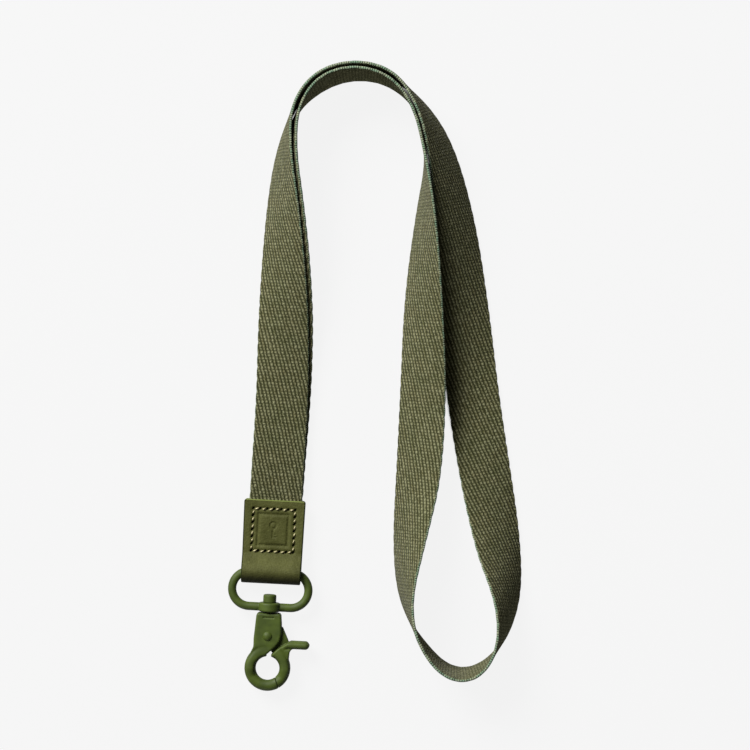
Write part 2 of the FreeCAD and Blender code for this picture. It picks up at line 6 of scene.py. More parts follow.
import bpy
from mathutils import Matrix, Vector


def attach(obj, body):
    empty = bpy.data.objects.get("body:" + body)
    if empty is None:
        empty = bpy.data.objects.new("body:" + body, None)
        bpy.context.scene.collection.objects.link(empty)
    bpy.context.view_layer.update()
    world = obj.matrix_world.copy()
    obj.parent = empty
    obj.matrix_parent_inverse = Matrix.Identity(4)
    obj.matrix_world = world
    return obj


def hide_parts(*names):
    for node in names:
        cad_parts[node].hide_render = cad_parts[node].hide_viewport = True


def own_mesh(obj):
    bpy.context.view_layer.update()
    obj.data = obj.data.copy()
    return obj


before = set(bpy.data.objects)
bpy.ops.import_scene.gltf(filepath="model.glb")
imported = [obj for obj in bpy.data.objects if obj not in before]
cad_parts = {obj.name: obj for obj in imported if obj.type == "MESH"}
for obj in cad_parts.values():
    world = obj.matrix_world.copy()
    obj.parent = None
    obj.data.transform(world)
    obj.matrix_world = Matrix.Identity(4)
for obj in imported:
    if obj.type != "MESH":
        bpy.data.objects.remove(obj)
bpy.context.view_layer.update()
MM = 0.001

# Webbing: centre line corners in millimetres, height of the lower selvedge, lean in degrees.
# At 0 the strip lies flat, at 90 it stands on edge, and the right-hand selvedge rises.
# This is part.py's route, with five points near the top bend moved by up to 1 mm.
ROUTE = [
    (0.0, 14.5, 2.8, 0), (0.3, 45.0, 2.8, 0), (0.7, 75.5, 1.9, 3), (-0.2, 100.0, 1.8, 12),
    (-1.3, 124.0, 1.6, 31), (-2.7, 149.0, 1.2, 52), (-3.5, 169.0, 0.8, 72),
    (-1.3, 186.0, 0.4, 89), (7.7, 198.2, 0.3, 96), (22.0, 203.0, 0.3, 97),
    (36.8, 200.8, 0.3, 91), (48.1, 190.0, 0.3, 76), (56.3, 174.0, 0.3, 58),
    (63.7, 146.0, 0.3, 42), (68.9, 112.0, 0.3, 20), (73.7, 80.0, 0.3, 0),
    (79.8, 51.0, 0.3, 9), (85.6, 26.5, 0.3, 26), (90.4, 6.0, 0.3, 54),
    (89.9, -8.6, 0.3, 73), (85.9, -18.7, 0.3, 86), (79.8, -24.6, 0.3, 94),
    (73.1, -25.9, 0.3, 97), (66.7, -23.4, 0.3, 97), (60.7, -17.4, 0.3, 95),
    (54.9, -8.8, 0.3, 88), (51.3, 4.5, 0.3, 74), (51.9, 24.0, 0.3, 54),
    (54.5, 52.0, 0.3, 31), (54.4, 82.0, 0.3, 31), (52.5, 116.0, 0.3, 46),
    (51.8, 148.0, 0.3, 70), (50.8, 171.5, 0.3, 95), (45.9, 188.8, 0.3, 97),
    (35.4, 198.7, 0.3, 88), (21.9, 201.0, 0.3, 83), (9.3, 196.4, 0.3, 82),
    (0.6, 185.3, 0.3, 95), (-1.5, 169.0, 0.3, 108), (-0.7, 149.0, 0.3, 128),
    (0.6, 124.0, 0.3, 149), (1.5, 100.0, 0.3, 168), (1.6, 75.5, 0.3, 178),
    (0.6, 45.0, 1.4, 180), (0.0, 14.5, 1.4, 180),
]
NECK_BEND = Vector((73.1, -25.9, 10.2)) * MM      # where the two runs meet
WEBBING_WIDTH = 20 * MM
WEBBING_THICKNESS = 1.2 * MM
SAMPLES_PER_POINT = 32
CROWN = 1.0 * MM            # how far the upper face bulges where the strip leans
# The strip's section, as shares of its half-width: the flat face, then the round edge.
FACE_SHARE = 0.955
EDGE_SHARE = 0.045
FACE_STEPS = 14
EDGE_STEPS = 8
# The selvedge's outer yarn: the length of one turn, where it starts as a share of the
# width, its large and small bulge and their offset in millimetres, and the edges' phase.
SELVEDGE_TURN = 4.78 * MM
SELVEDGE_START = 0.475
SELVEDGE_BULGE = 0.25
SELVEDGE_RIPPLE = 0.06
SELVEDGE_OFFSET = -0.18
SELVEDGE_PHASE = 0.8
# The weave, in millimetres: columns of warp floats lean as they run along the strip.
COLUMN_PITCH = 1.41
COLUMN_SLANT = 0.275
ROW_PITCH = 1.2
SELVEDGE_PITCH = 0.84       # of the cross yarns that show on the edge

AXIS_HEIGHT = 4.5 * MM       # of the ring's bar and of the hook, above the floor


# ---------------------------------------------------------------- node helpers
class Nodes:
    """Builds one material's node tree with short calls."""

    def __init__(self, name):
        self.material = bpy.data.materials.new(name)
        self.material.use_nodes = True
        self.tree = self.material.node_tree
        self.shader = self.tree.nodes["Principled BSDF"]

    def add(self, kind, **settings):
        node = self.tree.nodes.new("ShaderNode" + kind)
        for key, value in settings.items():
            setattr(node, key, value)
        return node

    def put(self, value, socket):
        if isinstance(value, bpy.types.NodeSocket):
            self.tree.links.new(value, socket)
        else:
            socket.default_value = value

    def math(self, operation, a, b=0.0, c=0.0):
        node = self.add("Math", operation=operation)
        for value, socket in zip((a, b, c), node.inputs):
            self.put(value, socket)
        return node.outputs[0]

    def mix(self, share, a, b, blend="MIX"):
        node = self.add("Mix", data_type="RGBA", blend_type=blend)
        self.put(share, node.inputs[0])
        self.put(a, node.inputs[6])
        self.put(b, node.inputs[7])
        return node.outputs[2]

    def noise(self, where, scale, detail=2.0, roughness=0.5):
        node = self.add("TexNoise")
        self.put(where, node.inputs["Vector"])
        node.inputs["Scale"].default_value = scale
        node.inputs["Detail"].default_value = detail
        node.inputs["Roughness"].default_value = roughness
        return node.outputs["Fac"]

    def cells(self, where, scale):
        node = self.add("TexVoronoi")
        self.put(where, node.inputs["Vector"])
        node.inputs["Scale"].default_value = scale
        return node.outputs["Distance"]

    def place(self):
        return self.add("TexCoord").outputs["Object"]

    def attribute(self, name):
        return self.add("Attribute", attribute_name=name)

    def ramp(self, value, low, high, to_low=0.0, to_high=1.0):
        node = self.add("MapRange")
        for number, socket in zip((value, low, high, to_low, to_high), node.inputs):
            self.put(number, socket)
        return node.outputs[0]

    def bump(self, height, distance, strength=1.0, after=None):
        node = self.add("Bump")
        node.inputs["Strength"].default_value = strength
        node.inputs["Distance"].default_value = distance
        self.put(height, node.inputs["Height"])
        if after is not None:
            self.put(after, node.inputs["Normal"])
        return node.outputs["Normal"]

    def finish(self, colour, roughness, normal=None, **others):
        self.put(colour, self.shader.inputs["Base Color"])
        self.put(roughness, self.shader.inputs["Roughness"])
        if normal is not None:
            self.put(normal, self.shader.inputs["Normal"])
        for name, value in others.items():
            self.shader.inputs[name.replace("_", " ")].default_value = value
        return self.material


def srgb(red, green, blue):
    """A colour given as 0 to 255, as the shaders' linear colour."""
    return tuple((v / 255) ** 2.2 for v in (red, green, blue)) + (1.0,)


# ---------------------------------------------------------------- materials
def webbing_material():
    """Warp-faced webbing: slanted columns of bead-like warp floats, with painted shade in the
    grooves between them and a painted highlight on the top of each float, and a lighter, cooler
    selvedge cord down both edges, with painted shade between its turns. The mesh's weave
    attribute gives each point's place across and along the strip in millimetres, and how much
    it is selvedge."""
    n = Nodes("woven_webbing")
    split = n.add("SeparateXYZ")
    n.put(n.attribute("weave").outputs["Vector"], split.inputs[0])
    across, along, edge = split.outputs
    place = n.place()
    wander = n.math("MULTIPLY", n.math("SUBTRACT", n.noise(place, 300, 1), 0.5), 0.4)
    jitter = n.math("MULTIPLY", n.math("SUBTRACT", n.noise(place, 1100, 1), 0.5), 0.9)
    slanted = n.math("MULTIPLY_ADD", along, COLUMN_SLANT, across)
    slanted = n.math("ADD", slanted, n.math("ADD", wander, jitter))
    column_count = n.math("DIVIDE", slanted, COLUMN_PITCH)
    row_count = n.math("DIVIDE", n.math("MULTIPLY_ADD", jitter, 1.1, along), ROW_PITCH)
    column = n.math("ABSOLUTE", n.math("SINE", n.math("MULTIPLY", column_count, math.pi)))
    row = n.math("ABSOLUTE", n.math("SINE", n.math("MULTIPLY", row_count, math.pi)))
    beaded = n.math("PINGPONG", n.math("FLOOR", column_count), 1.0)
    dip = n.math("MULTIPLY_ADD", beaded, -0.28, 0.7)
    floats = n.math("MULTIPLY", column, n.ramp(n.math("POWER", row, 0.8), 0, 1, dip, 1.0))
    knots = n.math("MULTIPLY_ADD", jitter, 0.7, along)
    knots = n.math("MULTIPLY", knots, math.pi / SELVEDGE_PITCH)
    cord = n.ramp(n.math("ABSOLUTE", n.math("SINE", knots)), 0, 1, 0.3, 1.0)
    blend = n.add("Mix", data_type="FLOAT")
    for value, socket in zip((edge, floats, cord), (blend.inputs[0], *blend.inputs[2:4])):
        n.put(value, socket)
    height = blend.outputs[0]

    cell = n.add("CombineXYZ")
    n.put(n.math("FLOOR", column_count), cell.inputs[0])
    n.put(n.math("FLOOR", row_count), cell.inputs[1])
    dice = n.add("TexWhiteNoise")
    n.put(cell.outputs[0], dice.inputs["Vector"])
    fibre = n.noise(place, 3200, 2)
    tone = n.ramp(n.noise(place, 170, 3), 0.35, 0.65)
    light = n.mix(tone, srgb(76, 73, 50), srgb(69, 70, 47))
    light = n.mix(n.math("MULTIPLY", beaded, 0.15), light, srgb(140, 140, 108))
    light = n.mix(n.ramp(dice.outputs["Value"], 0.3, 1.0, 0.0, 0.3), light, srgb(130, 130, 102))
    # Painted shade: the colour darkens with the weave's height, darkest in the grooves between
    # the floats.
    colour = n.mix(n.ramp(height, 0.15, 1.0), srgb(41, 42, 27), light)
    # Painted highlight: the top of each float is lightened.
    crest_highlight = n.ramp(height, 0.75, 1.0, 0.0, 0.3)
    colour = n.mix(crest_highlight, colour, srgb(140, 139, 110))
    patch = n.ramp(n.noise(place, 420, 2), 0.4, 0.6)
    pale = n.mix(patch, srgb(102, 126, 106), srgb(128, 134, 112))
    # Painted shade: the selvedge cord is darkened between its turns.
    mint = n.mix(n.math("POWER", cord, 1.4), srgb(30, 40, 32), pale)
    colour = n.mix(n.math("MULTIPLY", edge, 0.9), colour, mint)
    colour = n.mix(n.ramp(fibre, 0.3, 0.7, 0.0, 0.3), colour, srgb(42, 43, 28))
    normal = n.bump(n.math("MULTIPLY_ADD", fibre, 0.25, height), 0.3 * MM, 1.0)
    return n.finish(colour, 0.9, normal, Sheen_Weight=0.04, Sheen_Roughness=0.5,
                    Specular_IOR_Level=0.0)


def leather_material():
    """Smooth green leather with a fine grain, awl holes coloured near black as painted shade, and
    raw cut edges. A point attribute gives a lighter mouth edge, darker cut sides and painted
    shade towards the bottom of the fold."""
    n = Nodes("green_leather")
    place = n.place()
    grain = n.cells(place, 1500)
    fine = n.noise(place, 2600, 3)
    mottle = n.ramp(n.noise(place, 130, 3), 0.35, 0.65)
    colour = n.mix(mottle, srgb(53, 54, 25), srgb(65, 66, 35))
    colour = n.mix(n.ramp(fine, 0.3, 0.7, 0.0, 0.4), colour, srgb(38, 40, 12))
    speck = n.ramp(n.noise(place, 1300, 2), 0.55, 0.75, 0.0, 0.35)
    colour = n.mix(speck, colour, srgb(82, 84, 46))
    split = n.add("SeparateXYZ")
    n.put(n.attribute("edge_tone_and_fold_shade").outputs["Vector"], split.inputs[0])
    mouth, side, fold = split.outputs
    # Painted shade: darker towards the bottom of the fold, where the leather turns away from the
    # light.
    colour = n.mix(n.math("MULTIPLY", fold, 0.9), colour, srgb(24, 24, 8))
    colour = n.mix(mouth, colour, srgb(82, 90, 46))
    colour = n.mix(side, colour, srgb(38, 42, 18))
    # Painted shade: the awl holes are coloured near black.
    hole = n.attribute("hole").outputs["Fac"]
    colour = n.mix(hole, colour, srgb(6, 6, 3))
    texture = n.math("ADD", n.math("MULTIPLY", grain, 0.6), n.math("MULTIPLY", fine, 0.4))
    wrinkle = n.noise(place, 420, 4, 0.6)
    normal = n.bump(texture, 0.12 * MM, 0.9, n.bump(wrinkle, 0.3 * MM, 0.7))
    roughness = n.ramp(fine, 0.3, 0.7, 0.62, 0.76)
    return n.finish(colour, roughness, normal, Specular_IOR_Level=0.12)


def paint_material():
    """Dull enamel on a casting, slightly uneven in colour and in gloss."""
    n = Nodes("green_paint")
    place = n.place()
    cloud = n.ramp(n.noise(place, 260, 3), 0.35, 0.65)
    colour = n.mix(cloud, srgb(44, 54, 13), srgb(54, 65, 18))
    peel = n.noise(place, 900, 2)
    normal = n.bump(peel, 0.05 * MM, 0.35)
    roughness = n.ramp(n.noise(place, 500, 2), 0.3, 0.7, 0.58, 0.7)
    return n.finish(colour, roughness, normal, Specular_IOR_Level=0.24)


def thread_material():
    n = Nodes("waxed_thread")
    place = n.place()
    fibre = n.noise(place, 4000, 2)
    colour = n.mix(n.ramp(fibre, 0.3, 0.7), srgb(168, 160, 122), srgb(112, 104, 72))
    return n.finish(colour, 0.6, n.bump(fibre, 0.04 * MM, 0.6), Specular_IOR_Level=0.4)


def steel_material():
    n = Nodes("spring_wire")
    shade = n.ramp(n.noise(n.place(), 900, 2), 0.3, 0.7)
    colour = n.mix(shade, srgb(150, 150, 146), srgb(176, 176, 172))
    return n.finish(colour, 0.32, None, Metallic=1.0)


# ---------------------------------------------------------------- small sums
def smooth_step(value):
    """0 to 1 with a soft start and a soft end."""
    value = min(max(value, 0.0), 1.0)
    return value * value * (3 - 2 * value)


def spaced(start, end, step):
    """Even places from start to end, about a step apart."""
    count = max(int(abs(end - start) / step), 1)
    return [start + (end - start) * k / count for k in range(count + 1)]


def box_distance(x, y, middle, half):
    """Signed distance from the outline of a rectangle, negative inside."""
    dx, dy = abs(x - middle[0]) - half[0], abs(y - middle[1]) - half[1]
    outside = math.hypot(max(dx, 0.0), max(dy, 0.0))
    return outside + min(max(dx, dy), 0.0)


def groove(distance, depth, spread):
    """Height of the bottom of a soft groove, this far from its middle."""
    return -depth * math.exp(-(distance / spread) ** 2)


# ---------------------------------------------------------------- mesh helpers
def new_object(name, vertices, faces, material):
    mesh = bpy.data.meshes.new(name)
    mesh.from_pydata([tuple(v) for v in vertices], [], faces)
    mesh.validate()
    for polygon in mesh.polygons:
        polygon.use_smooth = True
    mesh.materials.append(material)
    obj = bpy.data.objects.new(name, mesh)
    bpy.context.scene.collection.objects.link(obj)
    return obj


def tube_faces(rings, sides, flip=False):
    """Faces of a closed tube: rings + 1 outlines of vertices, with a cap at both ends."""
    faces = []
    for i in range(rings):
        for k in range(sides):
            a, b = i * sides + k, i * sides + (k + 1) % sides
            c, d = a + sides, b + sides
            faces.append((a, c, d, b) if flip else (a, b, d, c))
    first, last = tuple(range(sides)), tuple(range(rings * sides, (rings + 1) * sides))
    faces += [first, last[::-1]] if flip else [first[::-1], last]
    return faces


def point_attribute(obj, name, kind, values):
    layer = obj.data.attributes.new(name, kind, "POINT")
    key = "vector" if kind == "FLOAT_VECTOR" else "value"
    flat = [x for v in values for x in v] if kind == "FLOAT_VECTOR" else list(values)
    layer.data.foreach_set(key, flat)


def spline_points(name, corners):
    """Points along the NURBS spline that has these control points."""
    curve = bpy.data.curves.new(name, "CURVE")
    curve.dimensions = "3D"
    curve.resolution_u = SAMPLES_PER_POINT
    spline = curve.splines.new("NURBS")
    spline.points.add(len(corners) - 1)
    for point, corner in zip(spline.points, corners):
        point.co = (*corner, 1.0)
    spline.order_u = 3
    spline.use_endpoint_u = True
    obj = bpy.data.objects.new(name, curve)
    mesh = bpy.data.meshes.new_from_object(obj)
    points = [v.co.copy() for v in mesh.vertices]
    bpy.data.objects.remove(obj)
    bpy.data.curves.remove(curve)
    bpy.data.meshes.remove(mesh)
    return points


# ---------------------------------------------------------------- webbing
def webbing_corners():
    """Control points of the centre line, and of a line half a width up the strip."""
    half = WEBBING_WIDTH / 2
    centre, upper = [], []
    last = len(ROUTE) - 1
    for i, (x, y, lift, lean) in enumerate(ROUTE):
        before, after = ROUTE[max(i - 1, 0)], ROUTE[min(i + 1, last)]
        right = Vector((after[1] - before[1], before[0] - after[0], 0)).normalized()
        turn = math.radians(lean)
        rise = right * math.cos(turn) + Vector((0, 0, math.sin(turn)))
        height = lift * MM + half * math.sin(turn)
        height += WEBBING_THICKNESS / 2 * abs(math.cos(turn))
        centre.append(Vector((x * MM, y * MM, height)))
        upper.append(centre[-1] + rise * half)
    return centre, upper


def webbing_stations():
    """Along the strip: centre, rise, normal and distance from its upper end."""
    corners, upper_corners = webbing_corners()
    centres = spline_points("centre_line", corners)
    uppers = spline_points("upper_line", upper_corners)
    stations, travelled = [], 0.0
    for i, centre in enumerate(centres):
        ahead = centres[min(i + 1, len(centres) - 1)] - centres[max(i - 1, 0)]
        ahead.normalize()
        slack = uppers[i] - centre
        rise = (slack - ahead * slack.dot(ahead)).normalized()
        low = centre - slack
        middle = low + rise * (WEBBING_WIDTH / 2)
        if i:
            travelled += (centre - centres[i - 1]).length
        stations.append((middle, rise, ahead.cross(rise), travelled))
    return stations, centres


def section_profile():
    """The webbing's cross-section: (across, through, how much it is selvedge), in metres."""
    half, thick = WEBBING_WIDTH / 2, WEBBING_THICKNESS / 2
    flat = half * FACE_SHARE
    columns = range(1 - FACE_STEPS, FACE_STEPS)
    face = [half * math.sin(math.pi / 2 * (k / FACE_STEPS)) for k in columns]
    face = [max(-flat, min(flat, f)) for f in face]
    upper = [(a, thick * (1 - 0.12 * abs(a / half) ** 6), 0.0) for a in face]
    round_edge = []
    for k in range(1, EDGE_STEPS):
        turn = math.pi / 2 - math.pi * k / EDGE_STEPS
        across = flat + half * EDGE_SHARE * math.cos(turn)
        outermost = min(max((math.cos(turn) - 0.45) / 0.4, 0.0), 1.0)
        round_edge.append((across, thick * 0.95 * math.sin(turn), outermost))
    lower = [(a, -t, e) for a, t, e in reversed(upper)]
    other = [(-a, -t, e) for a, t, e in round_edge]
    return upper + round_edge + lower + other


def selvedge_wave(travelled, side):
    """The selvedge bulges a little at each turn of its outer yarn."""
    turn = math.pi * travelled / SELVEDGE_TURN + SELVEDGE_PHASE * side
    wave = SELVEDGE_BULGE * abs(math.sin(turn)) + SELVEDGE_RIPPLE * abs(math.sin(2 * turn))
    return (wave + SELVEDGE_OFFSET) * MM


def webbing_run(name, stations, material):
    """One run of the webbing as a closed strip."""
    profile = section_profile()
    vertices, weave = [], []
    for middle, rise, normal, travelled in stations:
        crown = normal * (2 * normal.z * math.sqrt(max(1 - normal.z ** 2, 0.0)) * CROWN)
        for across, through, edge in profile:
            side = 1 if across > 0 else -1
            out = across
            if abs(across) > WEBBING_WIDTH * SELVEDGE_START:
                out += side * selvedge_wave(travelled, side)
            bulge = crown * max(1 - (2 * across / WEBBING_WIDTH) ** 2, 0.0)
            vertices.append(middle + rise * out + normal * through + bulge)
            weave.append((across / MM, travelled / MM, edge))
    faces = tube_faces(len(stations) - 1, len(profile), flip=True)
    obj = new_object(name, vertices, faces, material)
    point_attribute(obj, "weave", "FLOAT_VECTOR", weave)
    for polygon in obj.data.polygons[-2:]:
        polygon.use_smooth = False
    return obj


def make_webbing():
    """The two runs of webbing, which meet at the neck bend."""
    material = webbing_material()
    stations, centres = webbing_stations()
    bend = min(range(len(centres)), key=lambda i: (centres[i] - NECK_BEND).length)
    runs = (
        ("webbing_outer_run", stations[: bend + 1], centres[: bend + 1], ROUTE[0][2] * MM),
        ("webbing_inner_run", stations[bend:], centres[bend:], ROUTE[-1][2] * MM),
    )
    for name, part, path, lift in runs:
        obj = webbing_run(name, part, material)
        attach(obj, "strap")
        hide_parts("webbing_strap")


# ---------------------------------------------------------------- leather patch
# Side view of the fold, millimetres: its middle, its radius, the sewn part and the mouth.
FOLD_MIDDLE = 9.0
FOLD_RADIUS = 4.5
SEWN_START = 16.8
RELIEF_MARGIN = 1.2         # the pressed front starts this far below the sewn part
SEWN_TOP = 5.4
MOUTH = 36.5
LEATHER_THICKNESS = 1.4
MOUTH_HALF_WIDTH = 11.7
FOLD_HALF_WIDTH = 11.25
PATCH_CORNER = 1.0
CUT_RADIUS = 0.45
NEAR_MOUTH = [0.0, 0.06, 0.14, 0.24, 0.36, 0.5, 0.7, 0.95]   # rows this far from the mouth
MOUTH_BAND = 1.1
BACK_STEP = 0.22
FRONT_STEP = 0.17
FOLD_STEPS = 48
WIDTH_STEPS = 140
CORNER_STEPS = 4
INSIDE_STEPS = 10

# The box of stitches round the pressed badge.
STITCH_HALF_WIDTH = 8.0
STITCH_LOW = 16.9
STITCH_HIGH = 33.1
STITCHES_PER_SIDE = 6
BADGE_MIDDLE = (-0.1, 25.1)
BADGE_HALF = (5.7, 5.9)

# What is pressed into the leather: depths, and the spread of each groove.
BADGE_DEPTH, BADGE_SPREAD = 0.38, 0.62
SEAM_DEPTH, SEAM_SPREAD = 0.26, 0.8
BACK_SEAM_DEPTH, BACK_SEAM_SPREAD = 0.5, 0.55
KEY_DEPTH = 0.24
WAVE_HEIGHT = 0.06          # the front isn't quite flat
# The awl's holes are ovals that slant like a stroke /.
HOLE_DEPTH = 0.75
BACK_HOLE_DEPTH = 0.5
HOLE_HALF = (0.72, 0.54)
HOLE_SLANT = (0.64, 0.77)
HOLE_REACH = 1.2


def leather_rows():
    """Outside of the fold in side view, from the back's mouth round to the front's mouth."""
    mouth = [MOUTH - gap for gap in NEAR_MOUTH]
    back = mouth + spaced(MOUTH - MOUTH_BAND, FOLD_MIDDLE, BACK_STEP)
    front = spaced(FOLD_MIDDLE, MOUTH - MOUTH_BAND, FRONT_STEP) + mouth[::-1]
    rows = [(y, 0.0) for y in back]
    for k in range(1, FOLD_STEPS):
        turn = math.radians(-90 - 180 * k / FOLD_STEPS)
        rows.append((FOLD_MIDDLE + FOLD_RADIUS * math.cos(turn),
                     FOLD_RADIUS + FOLD_RADIUS * math.sin(turn)))
    drop = 2 * FOLD_RADIUS - SEWN_TOP
    for y in front:
        share = smooth_step((y - FOLD_MIDDLE) / (SEWN_START - FOLD_MIDDLE))
        rows.append((y, 2 * FOLD_RADIUS - drop * share))
    return rows


def stitch_holes():
    """The holes of the box of stitches, in order round it, as (x, y) in millimetres."""
    count = STITCHES_PER_SIDE
    corners = [(-STITCH_HALF_WIDTH, STITCH_LOW), (STITCH_HALF_WIDTH, STITCH_LOW),
               (STITCH_HALF_WIDTH, STITCH_HIGH), (-STITCH_HALF_WIDTH, STITCH_HIGH)]
    holes = []
    for (x0, y0), (x1, y1) in zip(corners, corners[1:] + corners[:1]):
        holes += [(x0 + (x1 - x0) * k / count, y0 + (y1 - y0) * k / count)
                  for k in range(count)]
    return holes


HOLES = stitch_holes()
STITCH_MIDDLE = (0.0, (STITCH_LOW + STITCH_HIGH) / 2)
STITCH_HALF = (STITCH_HALF_WIDTH, (STITCH_HIGH - STITCH_LOW) / 2)


def awl_pit(x, y):
    """How deep a point lies in an awl hole, 0 to 1."""
    if abs(box_distance(x, y, STITCH_MIDDLE, STITCH_HALF)) > HOLE_REACH:
        return 0.0
    deepest = 0.0
    for hx, hy in HOLES:
        dx, dy = x - hx, y - hy
        if abs(dx) < HOLE_REACH and abs(dy) < HOLE_REACH:
            long_way = dx * HOLE_SLANT[0] + dy * HOLE_SLANT[1]
            short_way = dx * HOLE_SLANT[1] - dy * HOLE_SLANT[0]
            reach = (long_way / HOLE_HALF[0]) ** 2 + (short_way / HOLE_HALF[1]) ** 2
            deepest = max(deepest, 1 - smooth_step(reach))
    return deepest


def key_motif(x, y):
    """1 inside a plain upright key: a ring for its bow, a shank and two teeth."""
    x, y = x - BADGE_MIDDLE[0], y - BADGE_MIDDLE[1]
    bow = abs(math.hypot(x, y - 1.7) - 1.15) - 0.38
    shank = box_distance(x, y, (0.0, -1.35), (0.36, 1.75))
    teeth = min(box_distance(x, y, (0.75, -2.75), (0.65, 0.3)),
                box_distance(x, y, (0.65, -1.75), (0.5, 0.26)))
    return 1 - smooth_step((min(bow, shank, teeth) + 0.12) / 0.3)


def front_relief(x, y):
    """Height in millimetres pressed into the sewn front: badge, stitch line and holes."""
    badge = box_distance(x, y, BADGE_MIDDLE, BADGE_HALF)
    seam = box_distance(x, y, STITCH_MIDDLE, STITCH_HALF)
    relief = groove(badge, BADGE_DEPTH, BADGE_SPREAD)
    relief -= KEY_DEPTH * key_motif(x, y)
    relief += groove(seam, SEAM_DEPTH, SEAM_SPREAD)
    relief += WAVE_HEIGHT * math.sin(0.9 * x + 0.4) * math.cos(0.55 * y)
    return relief - HOLE_DEPTH * awl_pit(x, y)


def back_relief(x, y):
    """Height in millimetres pressed into the back: the stitch line and its holes."""
    seam = box_distance(x, y, STITCH_MIDDLE, STITCH_HALF)
    return groove(seam, BACK_SEAM_DEPTH, BACK_SEAM_SPREAD) - BACK_HOLE_DEPTH * awl_pit(x, y)


def strip_section():
    """Cross-section of the leather as (side, inset, depth, share of the width, is cut).
    Side is 0 on the two faces; a depth of None is the inner face."""
    across = [-1 + 2 * k / WIDTH_STEPS for k in range(WIDTH_STEPS + 1)]
    outer = [(0, 0.0, 0.0, t, 0.0) for t in across]
    corner = [math.pi / 2 * k / CORNER_STEPS for k in range(1, CORNER_STEPS + 1)]
    right = [(1, 1 - math.sin(a), 1 - math.cos(a), 1.0, 1.0) for a in corner]
    right_low = [(1, 1 - math.cos(a), -(1 - math.sin(a)), 1.0, 1.0) for a in corner]
    inner = [(0, 0.0, None, 1 - 2 * k / INSIDE_STEPS, 0.0) for k in range(INSIDE_STEPS + 1)]
    left_low = [(-1, 1 - math.sin(a), -(1 - math.cos(a)), 1.0, 1.0) for a in corner]
    left = [(-1, 1 - math.cos(a), 1 - math.sin(a), 1.0, 1.0) for a in corner]
    return outer, right, right_low, inner, left_low, left


def leather_half_width(y):
    """The patch widens a little towards its mouth, and has rounded corners there."""
    width = FOLD_HALF_WIDTH + (MOUTH_HALF_WIDTH - FOLD_HALF_WIDTH) * (y / MOUTH)
    into_corner = PATCH_CORNER - (MOUTH - y)
    if into_corner > 0:
        width -= PATCH_CORNER - math.sqrt(max(PATCH_CORNER ** 2 - into_corner ** 2, 0.0))
    return width


def section_point(part, half):
    """(x, depth) of one point of the cross-section of a strip this wide."""
    side, inset, depth, share, _ = part
    flat = half - CUT_RADIUS
    if side == 0:
        return flat * share, (LEATHER_THICKNESS if depth is None else 0.0)
    x = side * (half - CUT_RADIUS * inset)
    if depth < 0 or (depth == 0 and inset > 0.5):
        return x, LEATHER_THICKNESS + CUT_RADIUS * depth
    return x, CUT_RADIUS * depth


def make_leather():
    """The patch: one strip swept round the fold, with its relief pressed in."""
    rows = leather_rows()
    outer, right, right_low, inner, left_low, left = strip_section()
    vertices, holes, edge_tone_and_fold_shade = [], [], []
    section = outer + right + right_low + inner + left_low + left
    for i, (y, z) in enumerate(rows):
        before, after = rows[max(i - 1, 0)], rows[min(i + 1, len(rows) - 1)]
        along = Vector((after[0] - before[0], after[1] - before[1])).normalized()
        outward = Vector((-along.y, along.x))
        half = leather_half_width(y)
        edge_gap = MOUTH - y
        pinch = 0.0
        if edge_gap < CUT_RADIUS and min(i, len(rows) - 1 - i) < len(NEAR_MOUTH):
            pinch = CUT_RADIUS - math.sqrt(CUT_RADIUS ** 2 - (CUT_RADIUS - edge_gap) ** 2)
        is_front = i > len(rows) / 2 and y > SEWN_START - RELIEF_MARGIN
        is_back = i < len(rows) / 2 and y > FOLD_MIDDLE + 2
        for k, part in enumerate(section):
            x, depth = section_point(part, half)
            pit = 0.0
            if k < len(outer):
                if is_front:
                    fade = smooth_step(y - SEWN_START + RELIEF_MARGIN)
                    depth -= fade * front_relief(x, y)
                    pit = awl_pit(x, y)
                elif is_back:
                    depth -= back_relief(x, y)
                    pit = awl_pit(x, y)
            depth = min(max(depth, pinch), LEATHER_THICKNESS - pinch)
            spot = Vector((y, z)) - outward * depth
            vertices.append((x * MM, spot.x * MM, spot.y * MM))
            holes.append(pit)
            mouth = 1.0 if pinch > 0.02 else 0.0
            # Painted shade for the fold, growing towards the fold's bottom.
            low = smooth_step((FOLD_MIDDLE + 2.0 - spot.x) / 6.5)
            edge_tone_and_fold_shade.append((mouth, part[4] * (1 - mouth), low))
    faces = tube_faces(len(rows) - 1, len(section))
    obj = new_object("leather_patch", vertices, faces, leather_material())
    point_attribute(obj, "hole", "FLOAT", holes)
    point_attribute(obj, "edge_tone_and_fold_shade", "FLOAT_VECTOR", edge_tone_and_fold_shade)
    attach(obj, "strap")
    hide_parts("leather_wrap")


# ---------------------------------------------------------------- stitches
THREAD_RADIUS = 0.31
STITCH_HALF_LENGTH = 0.66
COLUMN_STITCH = 0.85        # the side columns are pulled tighter than the rows
STITCH_SLANT = 24
STITCH_RINGS = 16
STITCH_SIDES = 14
BACK_STITCH_LEVEL = 0.62


